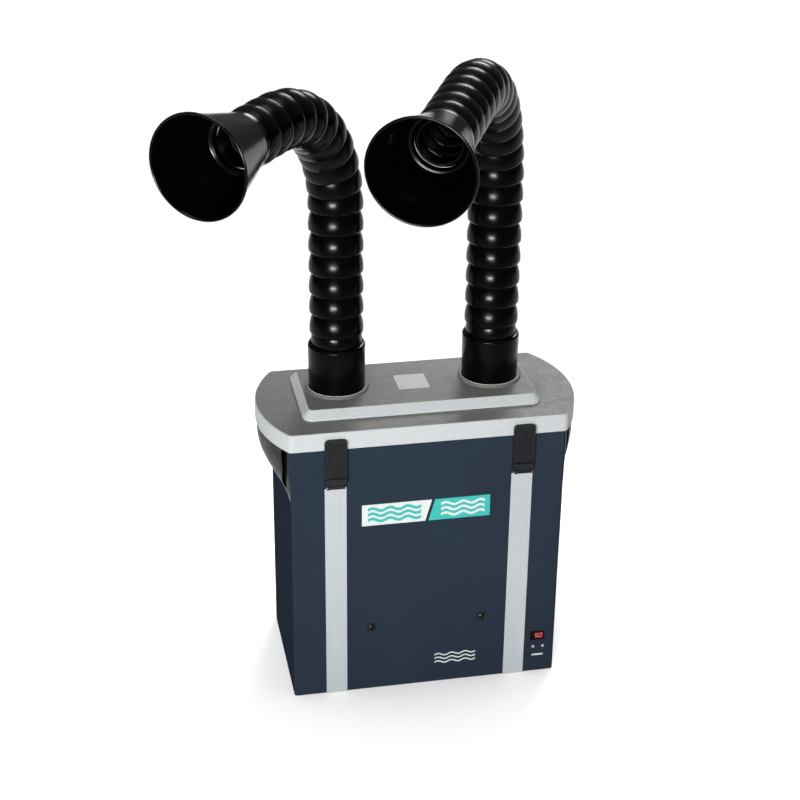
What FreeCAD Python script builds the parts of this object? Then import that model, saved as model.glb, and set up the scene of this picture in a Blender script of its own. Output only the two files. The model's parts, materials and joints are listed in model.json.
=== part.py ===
"""Two-arm solder fume extractor: a filter cabinet with a hinged lid and two ball-jointed suction arms.

Frame: +Z up, +Y to the rear, origin at the middle of the cabinet's underside. Millimetres.
"""

import FreeCAD, Part
import math
import os

import Sketcher
from FreeCAD import Placement, Rotation, Vector

# ----------------------------------------------------------------------------------------------
# Driving dimensions
# ----------------------------------------------------------------------------------------------

DIMENSIONS = {
    # cabinet
    "body_width": 420,
    "body_depth": 230,
    "body_height": 431,
    "body_corner": 5,
    "sheet_wall": 1.5,
    "base_thick": 3,
    "flange_width": 14,
    # lid
    "lid_bulge": 36,
    "lid_rim": 28,
    "lid_wall": 3,
    "lid_corner": 9,
    "lid_edge": 3,
    "plateau_width": 366,
    "plateau_depth": 164,
    "plateau_rise": 14,
    "plateau_corner": 16,
    "plateau_bevel": 10,
    "gasket_thick": 3,
    "gasket_width": 8,
    "gasket_inset": 5,
    # side handles under the lid's ends
    "handle_drop": 84,
    "handle_wall": 3,
    # arms
    "arm_spacing": 239,
    "arm_offset": 12,
    "socket_radius": 48.5,
    "socket_rise": 3.5,
    "socket_tube": 41,
    "socket_bore": 36.05,
    "cuff_radius": 43.6,
    "cuff_spigot": 36,
    "cuff_height": 77.5,
    "hose_pitch": 32.5,
    "dome_radius": 38.5,
    "dome_top": 22.9,
    "hose_wall": 2.2,
    "joint_gap": 0.3,
    "lip_radius": 40.6,
    "lip_height": 12,
    "hood_length": 122.5,
    "hood_mouth": 68.5,
    "hood_bead": 1.8,
    # latches and the strips below them
    "strip_width": 33,
    "strip_spacing": 286,
    "strip_thick": 2,
    "strip_top": 367.4,
    "latch_foot": 376,
    "latch_top": 449,
    "latch_thick": 6,
    "latch_gap": 0.3,
    "latch_pin_reach": 6,
    "latch_pin_drop": 4.5,
    "latch_barrel": 3.6,
    "lug_radius": 3.8,
    "lug_width": 3,
    "lug_inset": 3,
    "pin_radius": 2,
    # screws in the front
    "screw_spacing": 176,
    "screw_level": 114,
    "screw_shank": 3,
    "screw_head": 5.6,
    "screw_rise": 2.2,
    "screw_socket": 2.2,
    # rear hinges
    "hinge_width": 56,
    "hinge_spacing": 250,
    "hinge_barrel": 4.5,
    "hinge_leaf": 2,
    "hinge_reach": 24,
    # blower and filters
    "blower_offset": 70,
    "blower_radius": 96,
    "blower_height": 104,
    "blower_level": 9,
    "blower_skin": 2,
    "blower_eye": 52,
    "duct_width": 100,
    "motor_radius": 40,
    "motor_height": 34,
    "motor_foot": 46,
    "shaft_radius": 4,
    "shaft_length": 26,
    "impeller_level": 55,
    "impeller_radius": 82,
    "impeller_height": 34,
    "impeller_eye": 56,
    "hub_radius": 11,
    "hub_height": 18,
    "shelf_level": 150,
    "filter_width": 384,
    "filter_depth": 198,
    "filter_height": 170,
    "filter_wall": 4,
    "pleat_depth": 15,
    "prefilter_height": 28,
    "prefilter_wall": 6,
    "prefilter_slot": 48,
    # controls
    "window_width": 24,
    "window_height": 17,
    "window_offset": 181.4,
    "window_level": 66.6,
    "button_radius": 2.1,
    "button_spacing": 16,
    "button_offset": 183,
    "button_level": 47,
    "button_travel": 1.5,
    "board_gap": 9,
    "board_width": 62,
    "board_height": 56,
    "supply_offset": 60,
    "supply_width": 98,
    "supply_depth": 120,
    "supply_height": 42,
    # rear panel
    "grille_width": 96,
    "grille_height": 84,
    "grille_level": 58,
    "grille_thick": 2.5,
    "grille_border": 9,
    "inlet_offset": 150,
    "inlet_level": 62,
    "inlet_width": 26.6,
    "inlet_height": 19.6,
    "inlet_reach": 22,
    "switch_level": 104,
    "switch_width": 20.6,
    "switch_height": 29.6,
    "switch_reach": 20,
}

# The hose of each arm: how many segments it has, the first joint that is bent at rest, the angles
# between neighbouring segments from that joint on (degrees), and the compass direction that the
# arm bends towards, seen from above.
ARM_SEGMENTS = {"left": 17, "right": 21}
FIRST_BENT_JOINT = {"left": 6, "right": 7}
ARM_BENDS = {
    "left": [1.5, 10.7, 10.85, 10.85, 10.85, 10.85, 10.85, 10.85, 10.85, 3.5],
    "right": [5.2, 9.5, 9.95, 9.95, 9.95, 9.95, 9.95, 9.95, 9.95, 9.95],
}
ARM_HEADINGS = {"left": -126.4, "right": -115.8}
FOOT_SEGMENTS = 3

doc = FreeCAD.newDocument("fume_extractor")
sheet = doc.addObject("Spreadsheet::Sheet", "sheet")
for row, (alias, number) in enumerate(DIMENSIONS.items(), start=1):
    sheet.set(f"A{row}", alias)
    sheet.set(f"B{row}", str(number))
    sheet.setAlias(f"B{row}", alias)
doc.recompute()


# ----------------------------------------------------------------------------------------------
# Sizes that carry their expression
# ----------------------------------------------------------------------------------------------


class Size:
    """A number together with the spreadsheet expression that gives it."""

    def __init__(self, number, text):
        self.number = float(number)
        self.text = text

    def __add__(self, other):
        other = as_size(other)
        return Size(self.number + other.number, f"({self.text} + {other.text})")

    def __sub__(self, other):
        other = as_size(other)
        return Size(self.number - other.number, f"({self.text} - {other.text})")

    def __mul__(self, other):
        other = as_size(other)
        return Size(self.number * other.number, f"({self.text} * {other.text})")

    def __truediv__(self, other):
        other = as_size(other)
        return Size(self.number / other.number, f"({self.text} / {other.text})")

    def __neg__(self):
        return Size(-self.number, f"(0 - {self.text})")

    def __radd__(self, other):
        return as_size(other) + self

    def __rsub__(self, other):
        return as_size(other) - self

    def __rmul__(self, other):
        return as_size(other) * self

    def __float__(self):
        return self.number


def as_size(value):
    """The value as a Size, whether it is one already or a plain number."""
    if isinstance(value, Size):
        return value
    return Size(value, f"({value})")


def cell(alias):
    """The sheet's cell of that alias."""
    return Size(DIMENSIONS[alias], f"sheet.{alias}")


def chord(radius, height):
    """Radius of a sphere's section at a height above its centre."""
    radius = as_size(radius)
    height = as_size(height)
    number = math.sqrt(radius.number**2 - height.number**2)
    return Size(number, f"sqrt({radius.text}^2 - {height.text}^2)")


def bind(obj, prop, value):
    """Gives a property its value, as an expression of the sheet."""
    obj.setExpression(prop, as_size(value).text)


def put(obj, x=0, y=0, z=0):
    """Places an object by expressions."""
    for letter, value in zip("xyz", (x, y, z)):
        bind(obj, f"Placement.Base.{letter}", value)


# ----------------------------------------------------------------------------------------------
# Part primitives and booleans
# ----------------------------------------------------------------------------------------------

nodes = {}


def node(obj, label):
    """Marks an object as the finished sub-part of that name."""
    obj.Label = label
    nodes[label] = obj
    return obj


def box(label, low, size):
    """A box from its lowest corner and its three sizes."""
    obj = doc.addObject("Part::Box", label)
    for prop, value in zip(("Length", "Width", "Height"), size):
        bind(obj, prop, value)
    put(obj, *low)
    return obj


def cylinder(label, base, radius, height, along="z"):
    """A cylinder from the centre of its base, along x, y or z."""
    obj = doc.addObject("Part::Cylinder", label)
    turns = {
        "z": Rotation(),
        "y": Rotation(Vector(1, 0, 0), -90),
        "x": Rotation(Vector(0, 1, 0), 90),
    }
    obj.Placement = Placement(Vector(), turns[along])
    bind(obj, "Radius", radius)
    bind(obj, "Height", height)
    put(obj, *base)
    return obj


def fuse(label, shapes):
    """One solid from several that touch."""
    obj = doc.addObject("Part::MultiFuse", label)
    obj.Shapes = shapes
    obj.Refine = True
    return obj


def group(label, shapes):
    """Several separate solids in one node."""
    obj = doc.addObject("Part::Compound", label)
    obj.Links = shapes
    return obj


def cut(label, base, tools):
    """The base without the tools."""
    tool = tools[0] if len(tools) == 1 else fuse(label + "_tools", tools)
    obj = doc.addObject("Part::Cut", label)
    obj.Base = base
    obj.Tool = tool
    obj.Refine = True
    return obj


def straight_edges(shape, direction):
    """1-based numbers of the straight edges along a direction."""
    found = []
    for number, edge in enumerate(shape.Edges, start=1):
        if edge.Curve.TypeId != "Part::GeomLine":
            continue
        if edge.Curve.Direction.cross(direction).Length < 1e-6:
            found.append(number)
    return found


def round_edges(label, base, radius, direction):
    """Fillets the straight edges of an object along one direction."""
    doc.recompute()
    obj = doc.addObject("Part::Fillet", label)
    obj.Base = base
    obj.Edges = [(n, float(radius), float(radius)) for n in straight_edges(base.Shape, direction)]
    return obj


# ----------------------------------------------------------------------------------------------
# Bodies made from sketches
# ----------------------------------------------------------------------------------------------


def new_body(label):
    """An empty PartDesign body."""
    body = doc.addObject("PartDesign::Body", label)
    body.Label = label
    return body


def new_sketch(body, role, offset=0):
    """A sketch on one of the body's origin planes, moved along its normal."""
    plane = next(f for f in body.Origin.OriginFeatures if f.Role == role)
    sketch = body.newObject("Sketcher::SketchObject", body.Label + "_sketch")
    sketch.AttachmentSupport = [(plane, "")]
    sketch.MapMode = "FlatFace"
    bind(sketch, "AttachmentOffset.Base.z", offset)
    return sketch


def pin_point(sketch, curve, end, u, v):
    """Holds one point of a sketch curve at (u, v); None leaves that coordinate free."""
    for kind, axis, value in (("DistanceX", -2, u), ("DistanceY", -1, v)):
        if value is None:
            continue
        if abs(float(value)) < 1e-9:
            sketch.addConstraint(Sketcher.Constraint("PointOnObject", curve, end, axis))
            continue
        rule = Sketcher.Constraint(kind, -1, 1, curve, end, float(value))
        index = sketch.addConstraint(rule)
        bind(sketch, f"Constraints[{index}]", value)


def draw(sketch, corners, arcs=None):
    """A closed outline. arcs maps a corner's number to (centre u, centre v, counterclockwise)."""
    arcs = arcs or {}
    count = len(corners)
    curves = []
    ends = []
    for number, corner in enumerate(corners):
        start = Vector(float(corner[0]), float(corner[1]), 0)
        after = corners[(number + 1) % count]
        finish = Vector(float(after[0]), float(after[1]), 0)
        if number not in arcs:
            curves.append(sketch.addGeometry(Part.LineSegment(start, finish), False))
            ends.append((1, 2))
            continue
        centre = Vector(float(arcs[number][0]), float(arcs[number][1]), 0)
        turned = arcs[number][2]
        first, last = (start, finish) if turned else (finish, start)
        angles = [math.atan2(p.y - centre.y, p.x - centre.x) for p in (first, last)]
        circle = Part.Circle(centre, Vector(0, 0, 1), (start - centre).Length)
        curves.append(sketch.addGeometry(Part.ArcOfCircle(circle, *angles), False))
        ends.append((1, 2) if turned else (2, 1))
    for number, curve in enumerate(curves):
        following = (number + 1) % count
        link = Sketcher.Constraint(
            "Coincident", curve, ends[number][1], curves[following], ends[following][0]
        )
        sketch.addConstraint(link)
    for number, (u, v) in enumerate(corners):
        pin_point(sketch, curves[number], ends[number][0], u, v)
    for number, (u, v, _) in arcs.items():
        first = corners[number]
        after = corners[(number + 1) % count]
        upright = abs(float(first[0]) - float(after[0])) < abs(float(first[1]) - float(after[1]))
        if upright:
            pin_point(sketch, curves[number], 3, u, None)
        else:
            pin_point(sketch, curves[number], 3, None, v)


def draw_circle(sketch, u, v, radius):
    """A full circle."""
    centre = Vector(float(u), float(v), 0)
    circle = Part.Circle(centre, Vector(0, 0, 1), float(radius))
    curve = sketch.addGeometry(circle, False)
    pin_point(sketch, curve, 3, u, v)
    index = sketch.addConstraint(Sketcher.Constraint("Radius", curve, float(radius)))
    bind(sketch, f"Constraints[{index}]", radius)


def feature(body, kind, sketch):
    """A PartDesign feature on a sketch."""
    obj = body.newObject("PartDesign::" + kind, f"{body.Label}_{kind}")
    obj.Profile = sketch
    sketch.Visibility = False
    return obj


def pad(body, sketch, length):
    """Adds material along the sketch's normal."""
    obj = feature(body, "Pad", sketch)
    bind(obj, "Length", length)
    return obj


def pocket(body, sketch, depth, forwards=False):
    """Takes material away against the sketch's normal, or along it if forwards."""
    obj = feature(body, "Pocket", sketch)
    bind(obj, "Length", depth)
    obj.Reversed = forwards
    return obj


def turned_body(label, corners, arcs=None):
    """A body of revolution about Z from an outline in (radius, height)."""
    body = new_body(label)
    sketch = new_sketch(body, "XZ_Plane")
    draw(sketch, corners, arcs)
    obj = feature(body, "Revolution", sketch)
    obj.ReferenceAxis = (sketch, ["V_Axis"])
    obj.Angle = 360
    return body


# ----------------------------------------------------------------------------------------------
# Shared positions
# ----------------------------------------------------------------------------------------------

width = cell("body_width")
depth = cell("body_depth")
top = cell("body_height")
wall = cell("sheet_wall")
front = -depth / 2
back = depth / 2
lid_top = top + cell("lid_rim")
plateau_top = lid_top + cell("plateau_rise")
socket_top = plateau_top + cell("socket_rise")
first_joint = socket_top + cell("cuff_height")
SIGNS = {"left": -1, "right": 1}


# ----------------------------------------------------------------------------------------------
# Cabinet, base plate and filter shelf
# ----------------------------------------------------------------------------------------------


def make_cabinet():
    """The sheet-metal shell: four walls with the openings for the controls, outlet and inlet."""
    outer = box("cabinet_outer", (-width / 2, front, 0), (width, depth, top))
    shell = round_edges("cabinet_rounded", outer, cell("body_corner"), Vector(0, 0, 1))
    inside = (width - wall * 2, depth - wall * 2, top - wall + 1)
    holes = [box("cabinet_inside", (wall - width / 2, front + wall, -1), inside)]
    flange = cell("flange_width")
    mouth = (width - flange * 2, depth - flange * 2, 10)
    holes.append(box("cabinet_mouth", (flange - width / 2, front + flange, top - 5), mouth))
    window = (cell("window_width"), wall + 2, cell("window_height"))
    corner = (
        cell("window_offset") - cell("window_width") / 2,
        front - 1,
        cell("window_level") - cell("window_height") / 2,
    )
    holes.append(box("window_hole", corner, window))
    for side in (-1, 1):
        x = cell("button_offset") + cell("button_spacing") / 2 * side
        place = (x, front - 1, cell("button_level"))
        radius = cell("button_radius") + 0.15
        holes.append(cylinder("button_hole", place, radius, wall + 2, "y"))
    for side in (-1, 1):
        place = (cell("screw_spacing") / 2 * side, front - 1, cell("screw_level"))
        radius = cell("screw_shank") + 0.2
        holes.append(cylinder("front_screw_hole", place, radius, wall + 2, "y"))
    border = cell("grille_border") - 3
    opening = (cell("grille_width") - border * 2, wall + 2, cell("grille_height") - border * 2)
    corner = (
        border - cell("blower_offset"),
        back - wall - 1,
        cell("grille_level") - cell("grille_height") / 2 + border,
    )
    holes.append(box("outlet_hole", corner, opening))
    holes.append(rear_hole("inlet"))
    holes.append(rear_hole("switch"))
    node(cut("cabinet_shell", shell, holes), "cabinet")


def rear_hole(name):
    """The hole in the rear wall for the mains inlet or the switch."""
    play = 0.2
    size = (cell(name + "_width") + play * 2, wall + 2, cell(name + "_height") + play * 2)
    corner = (
        cell("inlet_offset") - size[0] / 2,
        back - wall - 1,
        cell(name + "_level") - size[2] / 2,
    )
    return box(name + "_hole", corner, size)


def make_base_plate():
    """The flat floor plate inside the walls, which is also what the cabinet stands on."""
    size = (width - wall * 2 - 0.4, depth - wall * 2 - 0.4, cell("base_thick"))
    plate = box("base_sheet", (-size[0] / 2, -size[1] / 2, 0), size)
    flanges = []
    for side in (-1, 1):
        x = size[0] / 2 * side
        if side > 0:
            x = x - 2
        flange = (x, -size[1] / 2, cell("base_thick"))
        flanges.append(box("base_flange", flange, (2, size[1], 12)))
    node(fuse("base", [plate] + flanges), "base_plate")


def make_filter_shelf():
    """The shelf that holds the filters above the blower, with the air opening in it."""
    size = (width - wall * 2 - 0.4, depth - wall * 2 - 0.4)
    level = cell("shelf_level")
    sheet_part = box("shelf_sheet", (-size[0] / 2, -size[1] / 2, level), (size[0], size[1], 2))
    flanges = []
    for side in (-1, 1):
        x = size[0] / 2 * side
        if side > 0:
            x = x - 2
        corner = (x, -size[1] / 2, level - 14)
        flanges.append(box("shelf_flange", corner, (2, size[1], 14)))
    body = fuse("shelf_bent", [sheet_part] + flanges)
    hole = cylinder("shelf_hole", (-cell("blower_offset"), 0, level - 1), 60, 4)
    node(cut("shelf", body, [hole]), "filter_shelf")


# ----------------------------------------------------------------------------------------------
# Lid
# ----------------------------------------------------------------------------------------------


def lid_outline(body, inset, level):
    """The lid's outline: straight front and back, ends that bulge as arcs."""
    half_depth = depth / 2 - inset
    half_width = width / 2 - inset
    bulge = cell("lid_bulge")
    radius = (half_depth * half_depth + bulge * bulge) / (bulge * 2)
    centre = half_width + bulge - radius
    sketch = new_sketch(body, "XY_Plane", level)
    corners = [
        (-half_width, -half_depth),
        (half_width, -half_depth),
        (half_width, half_depth),
        (-half_width, half_depth),
    ]
    draw(sketch, corners, {1: (centre, 0, True), 3: (-centre, 0, True)})
    return sketch


def lid_end_outline(body, side):
    """The hollow in one bulging end of the lid, beyond the cabinet's wall."""
    half_depth = depth / 2
    bulge = cell("lid_bulge")
    radius = (half_depth * half_depth + bulge * bulge) / (bulge * 2)
    centre = width / 2 + bulge - radius
    shell = radius - cell("lid_wall") - 1
    chord_place = width / 2 + 5
    reach = chord(shell, chord_place - centre)
    sketch = new_sketch(body, "XY_Plane", top)
    corners = [(chord_place * side, -reach * side), (chord_place * side, reach * side)]
    draw(sketch, corners, {0: (centre * side, 0, True)})
    return sketch


def draw_rectangle(sketch, size, centre=(0, 0)):
    """A rectangle about a centre."""
    u, v = centre
    du, dv = size[0] / 2, size[1] / 2
    draw(sketch, [(u - du, v - dv), (u + du, v - dv), (u + du, v + dv), (u - du, v + dv)])


def rectangle(body, level, size, centre=(0, 0)):
    """A rectangle sketch on a level plane."""
    sketch = new_sketch(body, "XY_Plane", level)
    draw_rectangle(sketch, size, centre)
    return sketch


def seal_outline(sketch):
    """The ring that the foam seal fills, under the lid and over the cabinet's flange."""
    edge = cell("gasket_inset")
    band = cell("gasket_width")
    draw_rectangle(sketch, (width - edge * 2, depth - edge * 2))
    draw_rectangle(sketch, (width - (edge + band) * 2, depth - (edge + band) * 2))


def body_edges(shape, test):
    """Names of the edges that pass a test."""
    return [f"Edge{n}" for n, edge in enumerate(shape.Edges, start=1) if test(edge)]


def is_upright(edge):
    """Is this a straight edge along Z?"""
    if edge.Curve.TypeId != "Part::GeomLine":
        return False
    return abs(edge.Curve.Direction.z) > 0.999


def all_at(edge, level):
    """Do all of the edge's points lie at one height?"""
    bounds = edge.BoundBox
    return abs(bounds.ZMin - level) < 1e-4 and abs(bounds.ZMax - level) < 1e-4


def dress(body, kind, names, size):
    """A PartDesign fillet or chamfer on named edges of the body's tip."""
    base = body.Tip
    obj = body.newObject("PartDesign::" + kind, f"{body.Label}_{kind}")
    obj.Base = (base, names)
    bind(obj, "Radius" if kind == "Fillet" else "Size", size)
    return obj


def make_lid():
    """The moulded lid: a rim, a raised plateau for the arms, and a hollow underneath."""
    body = new_body("lid")
    pad(body, lid_outline(body, 0, top), cell("lid_rim"))
    doc.recompute()
    dress(body, "Fillet", body_edges(body.Shape, is_upright), cell("lid_corner"))
    doc.recompute()
    level = float(lid_top)
    rim = body_edges(body.Shape, lambda edge: all_at(edge, level))
    dress(body, "Fillet", rim, cell("lid_edge"))
    size = (cell("plateau_width"), cell("plateau_depth"))
    centre = (0, cell("arm_offset") - 4)
    pad(body, rectangle(body, lid_top - 1, size, centre), cell("plateau_rise") + 1)
    doc.recompute()
    high = float(plateau_top)

    def on_plateau(edge):
        return is_upright(edge) and edge.BoundBox.ZMax > high - 0.01

    dress(body, "Fillet", body_edges(body.Shape, on_plateau), cell("plateau_corner"))
    doc.recompute()
    crown = body_edges(body.Shape, lambda edge: all_at(edge, high))
    dress(body, "Chamfer", crown, cell("plateau_bevel"))
    doc.recompute()
    skin = cell("lid_wall")
    under = cell("lid_rim") - skin
    seat = cell("flange_width") + 3
    pocket(body, rectangle(body, top, (width - seat * 2, depth - seat * 2)), under, True)
    ledge = cell("gasket_thick") * 2
    room = (width - skin * 2 - 4, depth - skin * 2 - 4)
    pocket(body, rectangle(body, top + ledge, room), under - ledge, True)
    for side in (-1, 1):
        pocket(body, lid_end_outline(body, side), under, True)
    sketch = new_sketch(body, "XY_Plane", top)
    seal_outline(sketch)
    pocket(body, sketch, cell("gasket_thick"), True)
    bevel = cell("plateau_bevel") * 2 + skin * 2
    size = (size[0] - bevel, size[1] - bevel)
    hollow = cell("plateau_rise")
    pocket(body, rectangle(body, lid_top - skin - 0.5, size, centre), hollow + 0.5, True)
    sketch = new_sketch(body, "XY_Plane", plateau_top - skin - 1)
    for side in (-1, 1):
        place = cell("arm_spacing") / 2 * side
        draw_circle(sketch, place, cell("arm_offset"), cell("socket_tube") + 0.1)
    pocket(body, sketch, skin + 2, True)
    node(body, "lid")


def make_gasket():
    """The foam seal in the lid's groove, which lies on the cabinet's flange."""
    body = new_body("lid_gasket")
    sketch = new_sketch(body, "XY_Plane", top)
    seal_outline(sketch)
    pad(body, sketch, cell("gasket_thick"))
    node(body, "lid_gasket")


def make_handle(name, side):
    """The flared grip under one end of the lid: full at the rim, drawn in to the cabinet's wall."""
    drop = float(cell("handle_drop"))
    levels = [-drop * share for share in (0, 0.33, 0.6, 0.8, 1)]
    reach = (0.94, 0.92, 0.72, 0.42, 0.05)

    def section(level, share, inset):
        """A closed section at a level: a straight side at the wall and a bulging one outside."""
        half = float(depth) / 2 - 3 - inset
        x = float(width) / 2 + inset
        far = float(width) / 2 + float(cell("lid_bulge")) * share - inset
        z = float(top) + level
        ends = [Vector(side * x, y, z) for y in (-half, half)]
        arc = Part.Arc(ends[0], Vector(side * far, 0, z), ends[1]).toShape()
        return Part.Wire([arc, Part.makeLine(ends[1], ends[0])])

    outer = [section(z, share, 0) for z, share in zip(levels, reach)]
    solid = Part.makeLoft(outer, True, False)
    thick = float(cell("handle_wall"))
    inner = [section(z, share, thick) for z, share in zip(levels[:4], reach[:4])]
    hollow = Part.makeLoft(inner, True, False)
    obj = doc.addObject("Part::Feature", name + "_handle")
    obj.Shape = solid.cut(hollow)
    node(obj, name + "_handle")


# ----------------------------------------------------------------------------------------------
# Arms
# ----------------------------------------------------------------------------------------------


def make_socket(name, side):
    """The ring in the lid that a cuff turns in."""
    ring = cell("socket_radius")
    bore = cell("socket_bore")
    tube = cell("socket_tube")
    under = plateau_top - 24
    corners = [
        (bore, under),
        (tube, under),
        (tube, plateau_top),
        (ring, plateau_top),
        (ring, socket_top - 1.2),
        (ring - 1.2, socket_top),
        (bore, socket_top),
    ]
    body = turned_body(name + "_arm_socket", corners)
    put(body, cell("arm_spacing") / 2 * side, cell("arm_offset"), 0)
    node(body, name + "_arm_socket")


def dome(centre):
    """The upper end of a hose piece: outer and inner points of its ball about a joint centre."""
    outer = cell("dome_radius")
    inner = outer - cell("hose_wall")
    rise = cell("dome_top")
    points = [
        (outer, centre),
        (chord(outer, rise), centre + rise),
        (chord(inner, rise), centre + rise),
        (inner, centre),
    ]
    return points


def skirt():
    """The lower end of a hose piece: the lip that rides on the dome below it."""
    ball = cell("dome_radius") + cell("joint_gap")
    low = cell("lip_height")
    land = low + 5
    points = [
        (chord(ball, land), land),
        (chord(ball, low), low),
        (cell("lip_radius"), low),
        (cell("lip_radius"), low + 2.5),
    ]
    return points


def make_segment(label, place):
    """One ball-jointed piece of hose, from its lower joint's centre upwards."""
    outer = cell("dome_radius")
    inner = outer - cell("hose_wall")
    low = cell("lip_height")
    pitch = cell("hose_pitch")
    corners = skirt()
    corners += [(outer, low + 9)]
    corners += dome(pitch)
    corners += [(inner, low + 7)]
    arcs = {0: (0, 0, False), 5: (0, pitch, True), 7: (0, pitch, False)}
    body = turned_body(label, corners, arcs)
    body.Placement = place
    return body


def make_cuff(name, side):
    """The cuff that turns in the lid's socket and carries the hose's first joint."""
    spigot = cell("cuff_spigot")
    radius = cell("cuff_radius")
    bore = spigot - 2.5
    foot = plateau_top - 20
    corners = [
        (bore, foot),
        (spigot, foot),
        (spigot, socket_top),
        (radius, socket_top),
        (radius, first_joint - 6),
    ]
    corners += dome(first_joint)
    corners += [(bore, first_joint - 14)]
    arcs = {5: (0, first_joint, True), 7: (0, first_joint, False)}
    body = turned_body(name + "_arm_cuff", corners, arcs)
    put(body, cell("arm_spacing") / 2 * side, cell("arm_offset"), 0)
    node(body, name + "_arm_cuff")


def make_hood(name, place):
    """The cone at the arm's end, from the last joint's centre out to the mouth."""
    mouth = cell("hood_mouth")
    length = cell("hood_length")
    bead = cell("hood_bead")
    low = cell("lip_height")
    skin = cell("hose_wall")
    throat = cell("dome_radius") - skin
    corners = skirt()[:3]
    corners += [
        (cell("lip_radius"), low + 5),
        (mouth, length - bead * 2),
        (mouth + bead, length - bead * 1.6),
        (mouth + bead, length - bead * 0.4),
        (mouth, length),
        (mouth - skin, length),
        (throat + 0.6, low + 9),
        (throat, low + 7),
    ]
    body = turned_body(name + "_hood", corners, {0: (0, 0, False)})
    body.Placement = place
    node(body, name + "_hood")


def make_arm(name, side):
    """The hose segments from the cuff to the hood, bent as the arm stands at rest."""
    base = Vector(side * DIMENSIONS["arm_spacing"] / 2, DIMENSIONS["arm_offset"], float(first_joint))
    place = Placement(base, Rotation(Vector(0, 0, 1), ARM_HEADINGS[name]))
    step = Placement(Vector(0, 0, DIMENSIONS["hose_pitch"]), Rotation())
    first = FIRST_BENT_JOINT[name]
    bends = dict(enumerate(ARM_BENDS[name], start=first))
    last = max(bends)
    segments = []
    for number in range(ARM_SEGMENTS[name]):
        turn = Placement(Vector(), Rotation(Vector(0, 1, 0), bends.get(number, 0)))
        place = place * turn
        segments.append(make_segment(f"{name}_hose_{number + 1}", place))
        place = place * step
    make_hood(name, place)
    node(group(name + "_hose_foot", segments[:FOOT_SEGMENTS]), name + "_hose_foot")
    node(group(name + "_hose_column", segments[FOOT_SEGMENTS:first]), name + "_hose_column")
    for segment in segments[first:last]:
        node(segment, segment.Label)
    node(group(name + "_hose_end", segments[last:]), name + "_hose_end")


# ----------------------------------------------------------------------------------------------
# Latches, strips and hinges
# ----------------------------------------------------------------------------------------------


def latch_pin_place(x):
    """A point on the axis that the latches turn about."""
    return (x, front - cell("latch_pin_reach"), cell("latch_foot") - cell("latch_pin_drop"))


def make_strips():
    """The two trim strips on the front, and the brackets above them that hold the latch pins."""
    strips = []
    brackets = []
    full = cell("strip_width")
    thick = cell("strip_thick")
    radius = cell("lug_radius")
    for side in (-1, 1):
        x = cell("strip_spacing") / 2 * side - full / 2
        strips.append(box("strip", (x, front - thick, 0), (full, thick, cell("strip_top"))))
        _, pin_y, pin_z = latch_pin_place(x)
        parts = [box("bracket_plate", (x, front - thick, pin_z - radius), (full, thick, radius * 2))]
        for shift in (cell("lug_inset"), full - cell("lug_inset") - cell("lug_width")):
            start = (x + shift, pin_y, pin_z)
            parts.append(cylinder("bracket_lug", start, radius, cell("lug_width"), "x"))
            web = (cell("lug_width"), cell("latch_pin_reach") - 0.5, radius * 2)
            parts.append(box("bracket_web", (x + shift, pin_y, pin_z - radius), web))
        whole = fuse("bracket_whole", parts)
        bore = cylinder("bracket_bore", latch_pin_place(x - 1), cell("pin_radius"), full + 2, "x")
        brackets.append(cut("bracket", whole, [bore]))
    node(group("strips", strips), "front_strips")
    node(group("brackets", brackets), "latch_brackets")


def make_latch(name, side):
    """One ribbed toggle latch, standing on its pin in front of the lid's rim."""
    full = cell("strip_width")
    thick = cell("latch_thick")
    foot = cell("latch_foot")
    high = cell("latch_top") - foot
    x = cell("strip_spacing") / 2 * side - full / 2
    face = front - cell("strip_thick") - cell("latch_gap") - thick
    plate = box("latch_plate", (x, face, foot), (full, thick, high))
    rounded = round_edges("latch_rounded", plate, 5, Vector(0, 1, 0))
    parts = [rounded]
    edge = cell("lug_inset") + cell("lug_width") + 0.4
    barrel = cell("latch_barrel")
    start = latch_pin_place(x + edge)
    parts.append(cylinder("latch_barrel", start, barrel, full - edge * 2, "x"))
    tongue = (full - edge * 2, barrel * 2 - 1.3, cell("latch_pin_drop") + 1)
    parts.append(box("latch_tongue", (x + edge, start[1] + 1.3 - barrel, start[2]), tongue))
    rib = (1.6, 1.4, high - 22)
    for number in range(7):
        place = (x + 3.7 + 4 * number, face - 1.2, foot + 14)
        parts.append(box("latch_rib", place, rib))
    pull = (full - 4, 4, 7)
    parts.append(box("latch_pull", (x + 2, face - 3, foot + 3), pull))
    whole = fuse("latch_whole", parts)
    radius = cell("pin_radius") + 0.05
    hole = cylinder("latch_bore", latch_pin_place(x - 1), radius, full + 2, "x")
    node(cut("latch", whole, [hole]), name + "_latch")


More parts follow.
